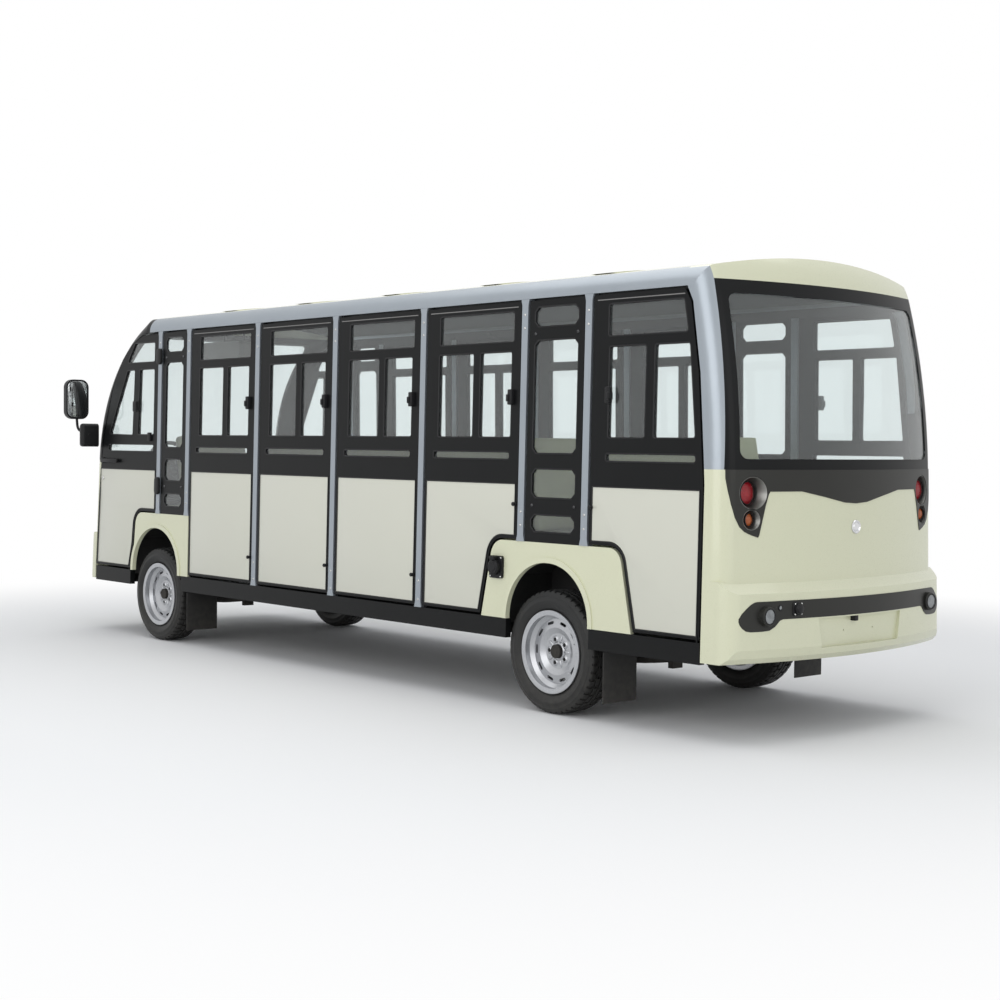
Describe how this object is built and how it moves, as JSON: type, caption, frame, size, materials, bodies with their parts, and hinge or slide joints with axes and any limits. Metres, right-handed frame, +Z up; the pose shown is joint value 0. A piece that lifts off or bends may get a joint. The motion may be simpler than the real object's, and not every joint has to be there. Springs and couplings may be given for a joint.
{
  "type": "electric sightseeing bus",
  "caption": "Closed low-speed electric passenger bus with rows of benches, a hinged glazed door at each row, bowed ends and pressed steel wheels.",
  "frame": {"origin": "on the ground plane below the middle of the bounding box", "axes": "+X forward, +Y the left side, +Z up"},
  "size_m": [5.8193, 1.912, 2.1048],
  "materials": {
    "cream_paint": "gloss",
    "silver_paint": "satin",
    "black_frame": "satin",
    "tinted_glass": "clear",
    "red_lens": "gloss",
    "amber_lens": "gloss",
    "clear_lens": "gloss",
    "dark_trim": "satin",
    "dark_plastic": "matte",
    "floor_rubber": "matte",
    "rubber": "matte",
    "seat_vinyl": "satin",
    "black_steel": "matte",
    "wheel_steel": "gloss",
    "tyre": "matte"
  },
  "bodies": {
    "body": {"arch_panels": "cream_paint", "battery_boxes": "black_steel", "cant_rails": "silver_paint", "charge_socket": "dark_plastic", "chassis_frame": "black_frame", "clear_lamps": "clear_lens", "dashboard": "dark_plastic", "fixed_glass": "tinted_glass", "floor_pan": "floor_rubber", "front_axle": "black_steel", "front_cowl": "cream_paint", "hinge_pins": "black_steel", "lamp_trims": "dark_trim", "leaf_springs": "black_steel", "mirrors": "dark_plastic", "mud_flaps": "rubber", "rear_axle": "black_steel", "rear_cowl": "cream_paint", "roof": "cream_paint", "seat_bases": "black_frame", "seats": "seat_vinyl", "side_posts": "silver_paint", "tail_lamps": "red_lens", "turn_lamps": "amber_lens", "window_frames": "black_frame"},
    "door_1_left": {"door_1_left": "black_frame", "door_1_left_glass": "tinted_glass"},
    "door_1_right": {"door_1_right": "black_frame", "door_1_right_glass": "tinted_glass"},
    "door_2_left": {"door_2_left": "black_frame", "door_2_left_glass": "tinted_glass"},
    "door_2_right": {"door_2_right": "black_frame", "door_2_right_glass": "tinted_glass"},
    "door_3_left": {"door_3_left": "black_frame", "door_3_left_glass": "tinted_glass"},
    "door_3_right": {"door_3_right": "black_frame", "door_3_right_glass": "tinted_glass"},
    "door_4_left": {"door_4_left": "black_frame", "door_4_left_glass": "tinted_glass"},
    "door_4_right": {"door_4_right": "black_frame", "door_4_right_glass": "tinted_glass"},
    "door_5_left": {"door_5_left": "black_frame", "door_5_left_glass": "tinted_glass"},
    "door_5_right": {"door_5_right": "black_frame", "door_5_right_glass": "tinted_glass"},
    "door_6_left": {"door_6_left": "black_frame", "door_6_left_glass": "tinted_glass"},
    "door_6_right": {"door_6_right": "black_frame", "door_6_right_glass": "tinted_glass"},
    "knuckle_left": {"knuckle_left": "black_steel"},
    "knuckle_right": {"knuckle_right": "black_steel"},
    "wheel_front_left": {"rim_front_left": "wheel_steel", "tyre_front_left": "tyre"},
    "wheel_front_right": {"rim_front_right": "wheel_steel", "tyre_front_right": "tyre"},
    "wheel_rear_left": {"rim_rear_left": "wheel_steel", "tyre_rear_left": "tyre"},
    "wheel_rear_right": {"rim_rear_right": "wheel_steel", "tyre_rear_right": "tyre"},
    "steering_wheel": {"steering_wheel": "dark_plastic"}
  },
  "joints": [
    {"name": "wheel_front_left_spin", "type": "hinge", "parent": "knuckle_left", "child": "wheel_front_left", "pos_m": [1.94, 0.6695, 0.2915], "axis": [0, 1, 0], "continuous": true},
    {"name": "wheel_front_right_spin", "type": "hinge", "parent": "knuckle_right", "child": "wheel_front_right", "pos_m": [1.94, -0.6695, 0.2915], "axis": [0, 1, 0], "continuous": true},
    {"name": "wheel_rear_left_spin", "type": "hinge", "parent": "body", "child": "wheel_rear_left", "pos_m": [-1.68, 0.6695, 0.2915], "axis": [0, 1, 0], "continuous": true},
    {"name": "wheel_rear_right_spin", "type": "hinge", "parent": "body", "child": "wheel_rear_right", "pos_m": [-1.68, -0.6695, 0.2915], "axis": [0, 1, 0], "continuous": true},
    {"name": "steer_left", "type": "hinge", "parent": "body", "child": "knuckle_left", "pos_m": [1.94, 0.57, 0.2915], "axis": [0, 0, 1], "range_deg": [-28, 28]},
    {"name": "steer_right", "type": "hinge", "parent": "body", "child": "knuckle_right", "pos_m": [1.94, -0.57, 0.2915], "axis": [0, 0, 1], "range_deg": [-28, 28]},
    {"name": "steering_wheel_turn", "type": "hinge", "parent": "body", "child": "steering_wheel", "pos_m": [2.39, 0.35, 1.09], "axis": [-0.8202, 0, 0.5721], "range_deg": [-448, 448]},
    {"name": "door_1_left_hinge", "type": "hinge", "parent": "body", "child": "door_1_left", "pos_m": [1.957, 0.7574, 0.99973], "axis": [0, -0.0175, 0.9998], "range_deg": [0, 75]},
    {"name": "door_2_left_hinge", "type": "hinge", "parent": "body", "child": "door_2_left", "pos_m": [1.528, 0.7574, 0.99973], "axis": [0, 0.0175, -0.9998], "range_deg": [0, 75]},
    {"name": "door_3_left_hinge", "type": "hinge", "parent": "body", "child": "door_3_left", "pos_m": [0.763, 0.7574, 0.99973], "axis": [0, 0.0175, -0.9998], "range_deg": [0, 75]},
    {"name": "door_4_left_hinge", "type": "hinge", "parent": "body", "child": "door_4_left", "pos_m": [-0.002, 0.7574, 0.99973], "axis": [0, 0.0175, -0.9998], "range_deg": [0, 75]},
    {"name": "door_5_left_hinge", "type": "hinge", "parent": "body", "child": "door_5_left", "pos_m": [-0.767, 0.7574, 0.99973], "axis": [0, 0.0175, -0.9998], "range_deg": [0, 75]},
    {"name": "door_6_left_hinge", "type": "hinge", "parent": "body", "child": "door_6_left", "pos_m": [-2.617, 0.7644, 0.99985], "axis": [0, -0.0175, 0.9998], "range_deg": [0, 75]},
    {"name": "door_1_right_hinge", "type": "hinge", "parent": "body", "child": "door_1_right", "pos_m": [1.957, -0.7574, 0.99973], "axis": [0, -0.0175, -0.9998], "range_deg": [0, 75]},
    {"name": "door_2_right_hinge", "type": "hinge", "parent": "body", "child": "door_2_right", "pos_m": [1.528, -0.7574, 0.99973], "axis": [0, 0.0175, 0.9998], "range_deg": [0, 75]},
    {"name": "door_3_right_hinge", "type": "hinge", "parent": "body", "child": "door_3_right", "pos_m": [0.763, -0.7574, 0.99973], "axis": [0, 0.0175, 0.9998], "range_deg": [0, 75]},
    {"name": "door_4_right_hinge", "type": "hinge", "parent": "body", "child": "door_4_right", "pos_m": [-0.002, -0.7574, 0.99973], "axis": [0, 0.0175, 0.9998], "range_deg": [0, 75]},
    {"name": "door_5_right_hinge", "type": "hinge", "parent": "body", "child": "door_5_right", "pos_m": [-0.767, -0.7574, 0.99973], "axis": [0, 0.0175, 0.9998], "range_deg": [0, 75]},
    {"name": "door_6_right_hinge", "type": "hinge", "parent": "body", "child": "door_6_right", "pos_m": [-2.617, -0.7644, 0.99985], "axis": [0, -0.0175, -0.9998], "range_deg": [0, 75]}
  ],
  "couplings": [
    {"joint": "steer_right", "follows": "steer_left", "ratio": 1},
    {"joint": "steering_wheel_turn", "follows": "steer_left", "ratio": 16}
  ]
}
